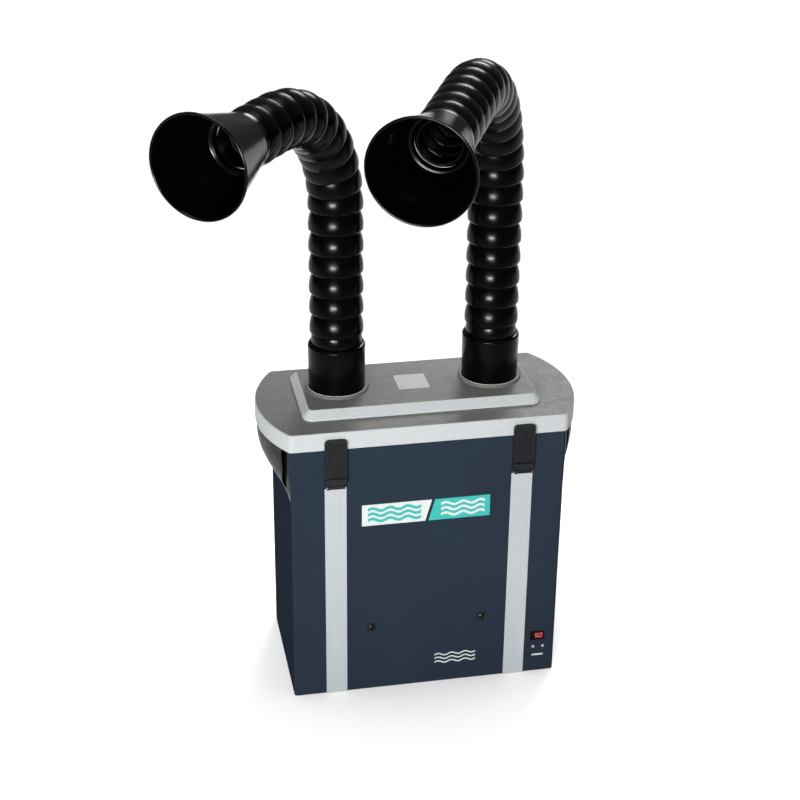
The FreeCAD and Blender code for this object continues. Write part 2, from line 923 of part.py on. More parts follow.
def make_hinges():
    """Two rear hinges: a lower and an upper leaf each, and the pins that join them."""
    axis_y = back + cell("hinge_barrel") + 0.5
    barrel = cell("hinge_barrel")
    leaf = cell("hinge_leaf")
    full = cell("hinge_width")
    reach = cell("hinge_reach")
    pin = cell("pin_radius") + 0.5
    knuckle = full / 5
    lower = []
    upper = []
    pins = []
    for side in (-1, 1):
        x = cell("hinge_spacing") / 2 * side - full / 2
        for below, leaves in ((True, lower), (False, upper)):
            z = top - reach if below else top + 0.8
            high = reach - 0.8
            parts = [box("hinge_plate", (x, back, z), (full, leaf, high))]
            for number in range(5):
                if (number % 2 == 0) != below:
                    continue
                place = (x + knuckle * number + 0.1, axis_y, top)
                parts.append(cylinder("hinge_knuckle", place, barrel, knuckle - 0.2, "x"))
                web = (x + knuckle * number + 0.1, back, top - 3 if below else top + 0.4)
                parts.append(box("hinge_web", web, (knuckle - 0.2, barrel, 2.6)))
            whole = fuse("hinge_leaf", parts)
            radius = pin if below else pin + 0.05
            tools = [cylinder("hinge_bore", (x - 1, axis_y, top), radius, full + 2, "x")]
            for number in range(5):
                if (number % 2 == 0) == below:
                    continue
                slot = (x + knuckle * number - 0.1, back - 0.1, top - 5.2)
                size = (knuckle + 0.2, barrel * 2 + 1, 10.4)
                tools.append(box("hinge_slot", slot, size))
            leaves.append(cut("hinge_part", whole, tools))
        pins.append(cylinder("hinge_pin", (x - 1, axis_y, top), pin, full + 2, "x"))
        start = latch_pin_place(cell("strip_spacing") / 2 * side - cell("strip_width") / 2 + 2)
        pins.append(cylinder("latch_pin", start, cell("pin_radius"), cell("strip_width") - 4, "x"))
    node(group("lower_leaves", lower), "hinge_lower_leaves")
    node(group("upper_leaves", upper), "hinge_upper_leaves")
    node(group("pins", pins), "hinge_pins")


def make_screws():
    """The two pan-head screws in the front panel."""
    screws = []
    for side in (-1, 1):
        x = cell("screw_spacing") / 2 * side
        z = cell("screw_level")
        rise = cell("screw_rise")
        shank = cylinder("screw_shank", (x, front - 0.5, z), cell("screw_shank"), 10, "y")
        head = cylinder("screw_head", (x, front - rise, z), cell("screw_head"), rise, "y")
        screw = fuse("screw", [shank, head])
        start = (x, front - rise - 0.4, z)
        socket = cylinder("screw_socket", start, cell("screw_socket"), rise + 1.4, "y")
        screws.append(cut("front_screw", screw, [socket]))
    node(group("front_screw_set", screws), "front_screws")


# ----------------------------------------------------------------------------------------------
# Filters
# ----------------------------------------------------------------------------------------------


def make_main_filter():
    """The main filter: a card frame around a pack of pleats, which is one block with folded faces."""
    full = cell("filter_width")
    deep = cell("filter_depth")
    high = cell("filter_height")
    level = cell("shelf_level") + 2
    wall_of_card = cell("filter_wall")
    case = box("filter_case", (-full / 2, -deep / 2, level), (full, deep, high))
    size = (full - wall_of_card * 2, deep - wall_of_card * 2, high + 2)
    hole = box("filter_hole", (-size[0] / 2, -size[1] / 2, level - 1), size)
    case = cut("filter_frame", case, [hole])
    body = new_body("filter_pleats")
    half = size[1] / 2 - 0.2
    sketch = new_sketch(body, "XZ_Plane", -half)
    folds = 24
    step = (size[0] - 0.4) / folds
    crest = level + high - 6
    foot = level + 6
    fold = cell("pleat_depth")
    upper = [(step * (n - folds // 2), crest - fold * (n % 2)) for n in range(folds + 1)]
    lower = [(step * (n - folds // 2), foot + fold * (n % 2)) for n in range(folds + 1)]
    draw(sketch, upper + lower[::-1])
    pad(body, sketch, half * 2)
    node(group("main_filter_parts", [case, body]), "main_filter")


def make_prefilter():
    """The tray with the coarse mat that the fumes meet first."""
    full = cell("filter_width")
    deep = cell("filter_depth")
    high = cell("prefilter_height")
    rim = cell("prefilter_wall")
    slot = cell("prefilter_slot")
    level = cell("shelf_level") + 2 + cell("filter_height") + 0.5
    tray = box("prefilter_tray", (-full / 2, -deep / 2, level), (full, deep, high))
    size = (full - rim * 2, deep - rim * 2, high)
    well = box("prefilter_well", (-size[0] / 2, -size[1] / 2, level + 3), size)
    windows = []
    count = 6
    pitch = full / (count + 0.4)
    for number in range(count):
        x = pitch * (number - (count - 1) / 2) - slot / 2
        corner = (x, -deep / 2 + rim * 2, level - 1)
        windows.append(box("prefilter_window", corner, (slot, deep - rim * 4, 6)))
    frame = cut("prefilter_frame", tray, [well] + windows)
    mat_size = (size[0] - 1, size[1] - 1, high - 7)
    mat = box("prefilter_mat", (-mat_size[0] / 2, -mat_size[1] / 2, level + 3), mat_size)
    node(group("prefilter", [frame, mat]), "pre_filter")


# ----------------------------------------------------------------------------------------------
# Blower
# ----------------------------------------------------------------------------------------------


def scroll_outline(body, level, inset, reach):
    """The scroll seen from above: a drum that runs straight on into the outlet duct."""
    centre = -cell("blower_offset")
    radius = cell("blower_radius") - inset
    right = centre + radius
    left = right - cell("duct_width") + inset * 2
    sketch = new_sketch(body, "XY_Plane", level)
    corners = [(right, 0), (right, reach), (left, reach), (left, chord(radius, left - centre))]
    draw(sketch, corners, {3: (centre, 0, True)})
    return sketch


def make_blower_housing():
    """The scroll around the impeller, open at the top and blowing to the rear outlet."""
    low = cell("blower_level")
    high = cell("blower_height")
    skin = cell("blower_skin")
    reach = back - wall - 0.2
    body = new_body("blower_housing")
    pad(body, scroll_outline(body, low, 0, reach), high)
    pocket(body, scroll_outline(body, low + skin, skin, reach + skin), high - skin * 2, True)
    sketch = new_sketch(body, "XY_Plane", low + high - skin - 1)
    draw_circle(sketch, -cell("blower_offset"), 0, cell("blower_eye"))
    pocket(body, sketch, skin + 2, True)
    node(body, "blower_housing")


def make_motor():
    """The motor on the scroll's floor, with its shaft."""
    x = -cell("blower_offset")
    low = cell("blower_level") + cell("blower_skin")
    high = cell("motor_height")
    cap_radius = cell("motor_radius") * 0.65
    cap_height = 5
    can = cylinder("motor_can", (x, 0, low), cell("motor_radius"), high)
    cap = cylinder("motor_cap", (x, 0, low + high), cap_radius, cap_height)
    start = (x, 0, low + high + cap_height)
    shaft = cylinder("motor_shaft", start, cell("shaft_radius"), cell("shaft_length"))
    foot = cylinder("motor_foot", (x, 0, low), cell("motor_foot"), 3)
    node(fuse("motor_parts", [can, cap, shaft, foot]), "motor")


def make_impeller():
    """The radial wheel: a back plate, a hub on the motor's shaft, nine blades and a shroud."""
    radius = cell("impeller_radius")
    level = cell("impeller_level")
    high = cell("impeller_height")
    bore = cell("shaft_radius") + 0.05
    disc = 2
    body = new_body("impeller")
    for outer, thick in ((radius, disc), (cell("hub_radius"), cell("hub_height"))):
        sketch = new_sketch(body, "XY_Plane", level)
        draw_circle(sketch, 0, 0, outer)
        draw_circle(sketch, 0, 0, bore)
        pad(body, sketch, thick)
    sketch = new_sketch(body, "XY_Plane", level)
    draw(sketch, [(38, 4), (radius - 1, 26), (radius - 3, 29), (37, 6.5)])
    fin = pad(body, sketch, high)
    doc.recompute()
    pattern = body.newObject("PartDesign::PolarPattern", "impeller_pattern")
    pattern.Originals = [fin]
    pattern.Axis = (sketch, ["N_Axis"])
    pattern.Angle = 360
    pattern.Occurrences = 9
    body.Tip = pattern
    sketch = new_sketch(body, "XY_Plane", level + high)
    draw_circle(sketch, 0, 0, radius)
    draw_circle(sketch, 0, 0, cell("impeller_eye"))
    pad(body, sketch, disc)
    put(body, -cell("blower_offset"), 0, 0)
    node(body, "impeller")


# ----------------------------------------------------------------------------------------------
# Electrics and controls
# ----------------------------------------------------------------------------------------------


def make_power_supply():
    """The vented supply that stands on the base plate behind the controls."""
    low = cell("base_thick")
    x = cell("supply_offset")
    full = cell("supply_width")
    deep = cell("supply_depth")
    high = cell("supply_height")
    case = box("supply_case", (x, -deep / 2, low), (full, deep, high))
    slots = []
    for number in range(7):
        corner = (x + 10 + 12 * number, 10 - deep / 2, low + high - 6)
        slots.append(box("supply_slot", corner, (5, deep - 20, 10)))
    body = cut("supply_vented", case, slots)
    terminals = box("supply_terminals", (x + full, 20 - deep / 2, low), (12, deep - 40, 16))
    node(fuse("supply", [body, terminals]), "power_supply")


def make_control_board():
    """The circuit board behind the front panel, with the key switches under the buttons."""
    y = front + wall + cell("board_gap")
    full = cell("board_width")
    right = width / 2 - 6
    foot = cell("button_level") - 15
    parts = [box("board", (right - full, y, foot), (full, 1.6, cell("board_height")))]
    for side in (-1, 1):
        x = cell("button_offset") + cell("button_spacing") / 2 * side
        corner = (x - 3, y - 3.2, cell("button_level") - 3)
        parts.append(box("key_switch", corner, (6, 3.2, 6)))
    parts.append(box("board_driver", (right - full + 6, y - 6, foot + 8), (14, 6, 20)))
    node(fuse("board_parts", parts), "control_board")


def make_display():
    """The two-digit display block behind its window."""
    x = cell("window_offset")
    z = cell("window_level")
    full = cell("window_width")
    high = cell("window_height")
    play = 0.1
    corner = (x - full / 2 + play, front + 0.3, z - high / 2 + play)
    node(box("pane", corner, (full - play * 2, wall - 0.3, high - play * 2)), "display_window")
    corner = (x - full / 2 - 1, front + wall + play, z - high / 2 - 2)
    size = (full + 2, cell("board_gap") - play * 2, high + 4)
    node(box("digit_block", corner, size), "digit_display")


def make_buttons():
    """The two push buttons under the display."""
    z = cell("button_level")
    radius = cell("button_radius")
    collar_width = 1.2
    proud = cell("button_travel") + 0.3
    for name, side in (("up", -1), ("down", 1)):
        x = cell("button_offset") + cell("button_spacing") / 2 * side
        reach = proud + wall + collar_width
        cap = cylinder("button_cap", (x, front - proud, z), radius, reach, "y")
        inner = (x, front + wall + 0.1, z)
        collar = cylinder("button_collar", inner, radius + collar_width, collar_width, "y")
        stem = cylinder("button_stem", (x, front + wall, z), radius / 2, 4.2, "y")
        node(fuse(name + "_button_parts", [cap, collar, stem]), name + "_button")


def make_grille():
    """The slotted outlet grille on the rear wall."""
    full = cell("grille_width")
    high = cell("grille_height")
    border = cell("grille_border")
    x = -cell("blower_offset")
    foot = cell("grille_level") - high / 2
    plate = box("grille_plate", (x, back, foot), (full, cell("grille_thick"), high))
    slots = []
    for number in range(8):
        corner = (x + border, back - 1, foot + border + 8.8 * number)
        slots.append(box("grille_slot", corner, (full - border * 2, cell("grille_thick") + 2, 5)))
    node(cut("grille", plate, slots), "exhaust_grille")


def make_power_inlet():
    """The mains inlet: a flanged shell with three contact blades in its socket."""
    x = cell("inlet_offset")
    z = cell("inlet_level")
    full = cell("inlet_width")
    high = cell("inlet_height")
    reach = cell("inlet_reach")
    skin = 2
    flange = box("inlet_flange", (x - 25, back, z - 14), (50, 3, 28))
    shell = box("inlet_shell", (x - full / 2, back - reach, z - high / 2), (full, reach, high))
    body = fuse("inlet_body", [flange, shell])
    corner = (x - full / 2 + skin, back - reach + 6, z - high / 2 + skin)
    size = (full - skin * 2, reach, high - skin * 2)
    blades = [cut("inlet_hollow", body, [box("inlet_cavity", corner, size)])]
    for shift, rise in ((-7, 1.5), (0, -2.5), (7, 1.5)):
        corner = (x + shift - 1, back - reach + 5, z + rise - 2)
        blades.append(box("inlet_blade", corner, (2, reach - 7, 4)))
    node(fuse("inlet", blades), "power_inlet")


def make_switch():
    """The mains switch: a housing in the rear wall, and the rocker that tips in it."""
    x = cell("inlet_offset")
    z = cell("switch_level")
    full = cell("switch_width")
    high = cell("switch_height")
    reach = cell("switch_reach")
    skin = 1.9
    bezel = box("switch_bezel", (x - 13, back, z - 17), (26, 2, 34))
    shell = box("switch_shell", (x - full / 2, back - reach, z - high / 2), (full, reach, high))
    body = fuse("switch_outer", [bezel, shell])
    size = (full - skin * 2, reach - 2, high - skin * 2)
    well = box("switch_well", (x - size[0] / 2, back - reach + 6, z - size[2] / 2), size)
    node(cut("switch", body, [well]), "switch_housing")

    body = new_body("switch_rocker")
    half = size[0] / 2 - 0.3
    sketch = new_sketch(body, "YZ_Plane", -half)
    draw(sketch, [(-7, -7), (2, -11.2), (5.2, -11.2), (2.4, 0), (5.2, 11.2), (2, 11.2), (-7, 7)])
    pad(body, sketch, half * 2)
    pivot = Vector(float(x), float(back) - 5, float(z))
    body.Placement = Placement(pivot, Rotation(Vector(1, 0, 0), 10))
    node(body, "switch_rocker")


# ----------------------------------------------------------------------------------------------
# Build, test and write
# ----------------------------------------------------------------------------------------------

make_cabinet()
make_base_plate()
make_filter_shelf()
make_lid()
make_gasket()
for name, side in SIGNS.items():
    make_handle(name, side)
    make_socket(name, side)
    make_cuff(name, side)
    make_arm(name, side)
    make_latch(name, side)
make_strips()
make_hinges()
make_screws()
make_main_filter()
make_prefilter()
make_blower_housing()
make_motor()
make_impeller()
make_power_supply()
make_control_board()
make_display()
make_buttons()
make_grille()
make_power_inlet()
make_switch()

doc.recompute()

faults = []
for obj in doc.Objects:
    if "Invalid" in obj.State or "Error" in obj.State:
        faults.append(f"{obj.Label}: {obj.State}")
for label, obj in nodes.items():
    if obj.Shape.isNull() or not obj.Shape.isValid():
        faults.append(f"{label}: bad shape")
    if not obj.Shape.Solids:
        faults.append(f"{label}: no solid")
if faults:
    raise SystemExit("\n".join(faults))

os.makedirs("parts", exist_ok=True)
for label, obj in nodes.items():
    obj.Shape.exportStep(f"parts/{label}.step")
print(len(nodes), "sub-parts written")
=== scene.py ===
"""Looks of the two-arm solder fume extractor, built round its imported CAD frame. Metres, +Z up."""
import json
import math

import bmesh
import bpy
from mathutils import Matrix, Vector


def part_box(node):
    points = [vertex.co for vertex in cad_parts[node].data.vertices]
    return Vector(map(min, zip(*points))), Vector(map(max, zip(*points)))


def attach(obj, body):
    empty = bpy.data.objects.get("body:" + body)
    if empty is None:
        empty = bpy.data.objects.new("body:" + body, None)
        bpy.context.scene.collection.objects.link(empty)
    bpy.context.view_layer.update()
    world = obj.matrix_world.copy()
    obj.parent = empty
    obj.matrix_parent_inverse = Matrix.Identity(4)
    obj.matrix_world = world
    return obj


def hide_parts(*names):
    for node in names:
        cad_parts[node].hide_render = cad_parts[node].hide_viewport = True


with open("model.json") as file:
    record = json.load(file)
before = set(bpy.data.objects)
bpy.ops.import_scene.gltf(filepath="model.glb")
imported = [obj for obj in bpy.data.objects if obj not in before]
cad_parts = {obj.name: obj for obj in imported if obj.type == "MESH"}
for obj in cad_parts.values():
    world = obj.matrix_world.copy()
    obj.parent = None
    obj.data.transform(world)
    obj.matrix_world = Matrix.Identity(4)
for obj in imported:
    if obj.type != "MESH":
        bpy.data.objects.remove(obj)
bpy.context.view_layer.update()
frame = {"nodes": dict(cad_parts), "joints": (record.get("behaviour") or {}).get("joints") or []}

MM = 0.001
SIDES = ("left", "right")
JOINTS = {joint["name"]: joint for joint in frame["joints"]}

# Hose: the ball at each segment's top and the lip at its foot, measured along the segment's axis
BALL_RADIUS = 38.5 * MM
HOSE_WALL = 2.2 * MM
BALL_TOP = 22.9 * MM
JOINT_GAP = 0.3 * MM
LIP_RADIUS = 40.6 * MM
LIP_FOOT = 12 * MM
FOOT_SEGMENTS = 3
BELLY_RADIUS = 40.8 * MM
BELLY_LEVEL = 18.5 * MM
DOME_RADIUS = 50 * MM
HOSE_BORE = 32 * MM

# Bars of the display's digits that are lit, by their usual letters
SEGMENTS_OF_DIGIT = {"0": "abcdef", "5": "acdfg"}

# Thin lip of the socket ring, round the cuff
SEAL_RADIUS = 44.8 * MM

# Softboxes: name, place, aim, size, power in watts and beam in degrees
SOFTBOXES = (
    ("key", (-1.05, -2.48, 0.85), (0, 0, 0.5), (1.1, 0.3), 15.5, 55),
    ("rear_fill", (1.1, 2.3, 2.2), (0, 0.1, 0.25), (1.4, 0.8), 4.5, 40),
    ("overhead", (0.5, 5.5, 3), (0.5, 5.5, 0), (13, 12), 450, 60),
)

# Strength of the surround at the horizon and overhead, and what the backdrop adds
HORIZON_STRENGTH = 0.06
ZENITH_STRENGTH = 0.3
BACKDROP_STRENGTH = 0.5

# Hood: its cone along the last segment's axis
HOOD_LENGTH = 122.5 * MM
HOOD_MOUTH = 68.5 * MM
HOOD_BEAD = 1.8 * MM


# ----------------------------------------------------------------------------------------------
# Materials
# ----------------------------------------------------------------------------------------------


class Finish:
    """A Principled material with a few procedural layers."""

    def __init__(self, name, color, roughness, **sockets):
        self.material = bpy.data.materials.new(name)
        self.material.use_nodes = True
        self.nodes = self.material.node_tree.nodes
        self.links = self.material.node_tree.links
        self.shader = self.nodes["Principled BSDF"]
        self.color = color
        self.shader.inputs["Base Color"].default_value = (*color, 1)
        self.shader.inputs["Roughness"].default_value = roughness
        for socket, value in sockets.items():
            self.shader.inputs[socket.replace("_", " ")].default_value = value
        self.coordinates = self.nodes.new("ShaderNodeTexCoord").outputs["Object"]

    def stretched(self, scale):
        """Object coordinates scaled along each axis."""
        mapping = self.nodes.new("ShaderNodeMapping")
        mapping.inputs["Scale"].default_value = scale
        self.links.new(self.coordinates, mapping.inputs["Vector"])
        return mapping.outputs["Vector"]

    def facing_up(self):
        """How far the surface faces up: 1 on top, 0 on walls. The lid's object axes are the frame's."""
        split = self.nodes.new("ShaderNodeSeparateXYZ")
        normal = self.nodes.new("ShaderNodeTexCoord").outputs["Normal"]
        self.links.new(normal, split.inputs["Vector"])
        return split.outputs["Z"]

    def product(self, first, second):
        """Two fields multiplied."""
        node = self.nodes.new("ShaderNodeMath")
        node.operation = "MULTIPLY"
        self.links.new(first, node.inputs[0])
        self.links.new(second, node.inputs[1])
        return node.outputs["Value"]

    def noise(self, scale, detail=4, stretch=(1, 1, 1)):
        """A fractal noise field, its scale in cycles per metre."""
        texture = self.nodes.new("ShaderNodeTexNoise")
        texture.inputs["Scale"].default_value = scale
        texture.inputs["Detail"].default_value = detail
        self.links.new(self.stretched(stretch), texture.inputs["Vector"])
        return texture.outputs["Fac"]

    def cells(self, scale, stretch=(1, 1, 1)):
        """Distance to the nearest point of a cell pattern."""
        texture = self.nodes.new("ShaderNodeTexVoronoi")
        texture.inputs["Scale"].default_value = scale
        self.links.new(self.stretched(stretch), texture.inputs["Vector"])
        return texture.outputs["Distance"]

    def between(self, field, low, high, start=0.35, end=0.65):
        """The field's range start..end turned into low..high."""
        node = self.nodes.new("ShaderNodeMapRange")
        node.inputs["From Min"].default_value = start
        node.inputs["From Max"].default_value = end
        node.inputs["To Min"].default_value = low
        node.inputs["To Max"].default_value = high
        self.links.new(field, node.inputs["Value"])
        return node.outputs["Result"]

    def vary_color(self, field, other, start=0.35, end=0.65):
        """The colour turns into another one where the field is high."""
        mix = self.nodes.new("ShaderNodeMix")
        mix.data_type = "RGBA"
        self.links.new(self.between(field, 0, 1, start, end), mix.inputs["Factor"])
        colors = [socket for socket in mix.inputs if socket.type == "RGBA"]
        base = self.shader.inputs["Base Color"]
        if base.links:
            self.links.new(base.links[0].from_socket, colors[0])
        else:
            colors[0].default_value = (*self.color, 1)
        colors[1].default_value = (*other, 1)
        output = next(socket for socket in mix.outputs if socket.type == "RGBA")
        self.links.new(output, base)
        return self

    def vary_roughness(self, field, low, high):
        """Roughness follows the field."""
        self.links.new(self.between(field, low, high), self.shader.inputs["Roughness"])
        return self

    def bump(self, field, depth):
        """A relief of that depth in metres, on top of any earlier one."""
        node = self.nodes.new("ShaderNodeBump")
        node.inputs["Distance"].default_value = depth
        self.links.new(field, node.inputs["Height"])
        normal = self.shader.inputs["Normal"]
        if normal.links:
            self.links.new(normal.links[0].from_socket, node.inputs["Normal"])
        self.links.new(node.outputs["Normal"], normal)
        return self

    def edge_wear(self, other, low=0.52, high=0.6):
        """Paint thinned along sharp edges, where the surface is most convex."""
        pointiness = self.nodes.new("ShaderNodeNewGeometry").outputs["Pointiness"]
        return self.vary_color(pointiness, other, low, high)


def powder_paint():
    """Dark slate-blue powder coat: fine orange peel and a faint cloudiness."""
    finish = Finish("slate_powder_paint", (0.0126, 0.0185, 0.0275), 0.5, Specular_IOR_Level=0)
    finish.vary_color(finish.noise(7, 4), (0.0108, 0.0158, 0.0235))
    finish.vary_color(finish.noise(1800, 2), (0.0185, 0.0265, 0.0385), 0.5, 0.75)
    finish.vary_roughness(finish.noise(40, 3), 0.44, 0.56)
    finish.bump(finish.noise(1100, 2), 0.00008)
    return finish.material


def lid_plastic():
    """Moulded pale grey lid: smooth sides and bevels, and a coarsely grained top darkened by painted shade.
    """
    finish = Finish("grey_lid_plastic", (0.295, 0.308, 0.315), 0.45, Specular_IOR_Level=0.15)
    upward = finish.facing_up()
    finish.vary_color(finish.noise(420, 4), (0.255, 0.268, 0.27), 0.4, 0.7)
    # Painted shade: faces that look up are darkened, standing in for the weaker light on the top, though the
    # plastic is one pale grey all over; a lighter coarse grain mottles that shaded top.
    finish.vary_color(upward, (0.080, 0.083, 0.077), 0.86, 0.95)
    grain = finish.product(finish.between(upward, 0, 1, 0.86, 0.95), finish.noise(520, 5))
    finish.vary_color(grain, (0.138, 0.141, 0.132), 0.42, 0.66)
    finish.vary_roughness(finish.noise(60, 3), 0.4, 0.52)
    finish.bump(finish.noise(700, 4), 0.00012)
    return finish.material


def ring_plastic(color):
    """Plain moulded plastic of the socket rings, in the colour given: painted shade on the ring, a painted
    highlight on its lip.
    """
    return plain("ring_plastic", color, 0.5, Specular_IOR_Level=0.15)


def gloss_plastic(name, low, high, specular):
    """Polished black mouldings of the arms, with faint handling marks."""
    finish = Finish(name, (0.0006, 0.0006, 0.0007), low, Specular_IOR_Level=specular)
    finish.vary_roughness(finish.noise(55, 5), low, high)
    finish.vary_color(finish.noise(420, 3), (0.0012, 0.0012, 0.0014), 0.6, 0.8)
    finish.bump(finish.noise(130, 3), 0.00008)
    return finish.material


def grained_plastic():
    """Matt black plastic with a leathery mould grain."""
    finish = Finish("black_grained_plastic", (0.0035, 0.004, 0.005), 0.45, Specular_IOR_Level=0.15)
    finish.vary_color(finish.noise(300, 3), (0.007, 0.0075, 0.009))
    finish.vary_roughness(finish.noise(90, 3), 0.4, 0.55)
    finish.bump(finish.cells(900), 0.00008)
    return finish.material


def silver_strip():
    """Satin silver trim, brushed along its length."""
    finish = Finish("satin_silver", (0.30, 0.32, 0.33), 0.45, Metallic=0.2, Specular_IOR_Level=0.3)
    finish.vary_color(finish.noise(700, 3, (1, 1, 0.01)), (0.27, 0.29, 0.30))
    finish.vary_roughness(finish.noise(900, 3, (1, 1, 0.01)), 0.36, 0.5)
    finish.bump(finish.noise(1500, 2, (1, 1, 0.008)), 0.00002)
    return finish.material


def zinc_sheet():
    """Galvanised sheet with its spangle."""
    finish = Finish("zinc_sheet", (0.55, 0.57, 0.58), 0.4, Metallic=0.9)
    finish.vary_color(finish.cells(90), (0.68, 0.70, 0.71), 0.2, 0.6)
    finish.vary_roughness(finish.cells(90), 0.3, 0.5)
    return finish.material


def bright_steel():
    """Zinc-plated steel of hinges, pins and screws."""
    finish = Finish("plated_steel", (0.55, 0.55, 0.54), 0.3, Metallic=1.0)
    finish.vary_color(finish.noise(120, 3), (0.46, 0.46, 0.46))
    finish.vary_roughness(finish.noise(200, 3), 0.24, 0.38)
    return finish.material


def dark_steel():
    """Blackened screws."""
    finish = Finish("blackened_steel", (0.02, 0.02, 0.022), 0.35, Metallic=0.8)
    finish.vary_roughness(finish.noise(300, 3), 0.28, 0.45)
    finish.edge_wear((0.10, 0.10, 0.10))
    return finish.material


def foam():
    """Open-cell seal."""
    finish = Finish("black_foam", (0.02, 0.02, 0.021), 0.9)
    finish.vary_color(finish.noise(1500, 2), (0.035, 0.035, 0.036))
    finish.bump(finish.cells(1300), 0.0003)
    return finish.material


def filter_card():
    """Filter frame of pressed card."""
    finish = Finish("filter_card", (0.62, 0.55, 0.42), 0.85)
    finish.vary_color(finish.noise(900, 4, (1, 1, 0.2)), (0.52, 0.46, 0.35))
    finish.bump(finish.noise(1200, 3), 0.0001)
    return finish.material


def filter_mat():
    """White fibre mat."""
    finish = Finish("fibre_mat", (0.78, 0.79, 0.78), 0.95, Sheen_Weight=0.3)
    finish.vary_color(finish.noise(260, 5), (0.66, 0.67, 0.66))
    finish.bump(finish.noise(900, 6), 0.0008)
    return finish.material


def plain(name, color, roughness, **sockets):
    """A moulded or printed surface with a light mottle, for small pieces."""
    finish = Finish(name, color, roughness, **sockets)
    finish.vary_color(finish.noise(500, 3), tuple(part * 0.9 for part in color))
    finish.bump(finish.noise(1500, 2), 0.00002)
    return finish.material


def circuit_board():
    """Green solder mask over darker tracks."""
    finish = Finish("solder_mask", (0.015, 0.12, 0.045), 0.3)
    finish.vary_color(finish.noise(260, 1, (1, 1, 0.1)), (0.01, 0.08, 0.03), 0.45, 0.55)
    return finish.material


MATERIALS = {
    "body_paint": powder_paint(),
    "lid_plastic": lid_plastic(),
    "black_gloss": gloss_plastic("black_gloss_plastic", 0.19, 0.25, 0.08),
    "black_plastic": grained_plastic(),
    "silver_strip": silver_strip(),
    "zinc_sheet": zinc_sheet(),
    "steel": bright_steel(),
    "foam": foam(),
    "filter_card": filter_card(),
    "filter_mat": filter_mat(),
    "wheel_plastic": plain("wheel_plastic", (0.03, 0.03, 0.032), 0.5),
    "board": circuit_board(),
    "window": plain("smoked_window", (0.006, 0.0009, 0.0012), 0.12, Specular_IOR_Level=0.03),
    "button_white": plain("white_button", (0.30, 0.30, 0.30), 0.4),
}
HOOD_GLOSS = gloss_plastic("hood_plastic", 0.15, 0.20, 0.17)
DARK_STEEL = dark_steel()
SCREW_BLACK = plain("black_screw", (0.002, 0.002, 0.0025), 0.3, Specular_IOR_Level=0.25)
# Painted shade: the lid top's darkened grey, put on the boss ring of the pale lid plastic.
RING_PAINTED_SHADE = ring_plastic((0.080, 0.083, 0.077))
# The lid's own pale grey, on the lip as a painted highlight line round the cuff's foot.
RING_PALE_HIGHLIGHT = ring_plastic((0.30, 0.31, 0.30))
PRINT_WHITE = plain("white_print", (0.38, 0.40, 0.395), 0.4)
PRINT_TEAL = plain("teal_print", (0.010, 0.25, 0.225), 0.4)
LABEL_SILVER = plain("label_silver", (0.33, 0.345, 0.34), 0.4, Specular_IOR_Level=0.1)
LABEL_LINE = plain("label_line", (0.21, 0.225, 0.225), 0.4)
DIGIT_LIT = plain(
    "lit_digit", (0.5, 0.06, 0.06), 0.4, Emission_Color=(1, 0.12, 0.13, 1), Emission_Strength=0.55
)
DIGIT_DARK = plain("unlit_digit", (0.010, 0.002, 0.002), 0.3)


# ----------------------------------------------------------------------------------------------
# Mesh tools
# ----------------------------------------------------------------------------------------------


def make_piece(name, bm, body, slot, material=None, replaces=(), sharp=35, bevel=0, place=None):
    """An object from a bmesh: shaded smooth up to an angle, softened along edges, riding on a body."""
    mesh = bpy.data.meshes.new(name)
    bmesh.ops.recalc_face_normals(bm, faces=bm.faces)
    bm.to_mesh(mesh)
    bm.free()
    if place is not None:
        mesh.transform(place)
    mesh.polygons.foreach_set("use_smooth", [True] * len(mesh.polygons))
    mesh.set_sharp_from_angle(angle=math.radians(sharp))
    mesh.materials.append(material or MATERIALS[slot])
    piece = bpy.data.objects.new(name, mesh)
    bpy.context.scene.collection.objects.link(piece)
    if bevel:
        soften(piece, bevel)
    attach(piece, body)
    if replaces:
        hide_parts(*replaces)
    return piece


def soften(piece, size, segments=3):
    """Rounds the sharp edges of a piece by a bevel."""
    bevel = piece.modifiers.new("rounding", "BEVEL")
    bevel.width = size
    bevel.segments = segments
    bevel.limit_method = "ANGLE"
    bevel.angle_limit = math.radians(35)
    bevel.harden_normals = True


def rounded_path(corners, steps=6):
    """Corners (u, v, radius) of a closed outline turned into points, each corner rounded by its radius."""
    path = []
    count = len(corners)
    for number, (u, v, radius) in enumerate(corners):
        here = Vector((u, v))
        if radius <= 0:
            path.append(here)
            continue
        before = Vector(corners[number - 1][:2]) - here
        after = Vector(corners[(number + 1) % count][:2]) - here
        half = before.angle(after) / 2
        reach = min(radius / math.tan(half), before.length * 0.49, after.length * 0.49)
        size = reach * math.tan(half)
        centre = here + (before.normalized() + after.normalized()).normalized() * (size / math.sin(half))
        first = here + before.normalized() * reach - centre
        last = here + after.normalized() * reach - centre
        for step in range(steps + 1):
            path.append(centre + first.slerp(last, step / steps).normalized() * size)
    return path


def arc_points(radius, centre, start, end, steps):
    """Points (r, z) of a circle about (0, centre) between two heights above the centre."""
    points = []
    for step in range(steps + 1):
        rise = start + (end - start) * step / steps
        points.append((math.sqrt(radius * radius - rise * rise), centre + rise, 0))
    return points


def lathe(profile, steps=96):
    """A closed profile (r, z) turned about Z."""
    bm = bmesh.new()
    rings = []
    for step in range(steps):
        angle = 2 * math.pi * step / steps
        turn = (math.cos(angle), math.sin(angle))
        rings.append([bm.verts.new((p.x * turn[0], p.x * turn[1], p.y)) for p in profile])
    for step in range(steps):
        first = rings[step]
        second = rings[(step + 1) % steps]
        for number in range(len(profile)):
            after = (number + 1) % len(profile)
            bm.faces.new((first[number], second[number], second[after], first[after]))
    return bm


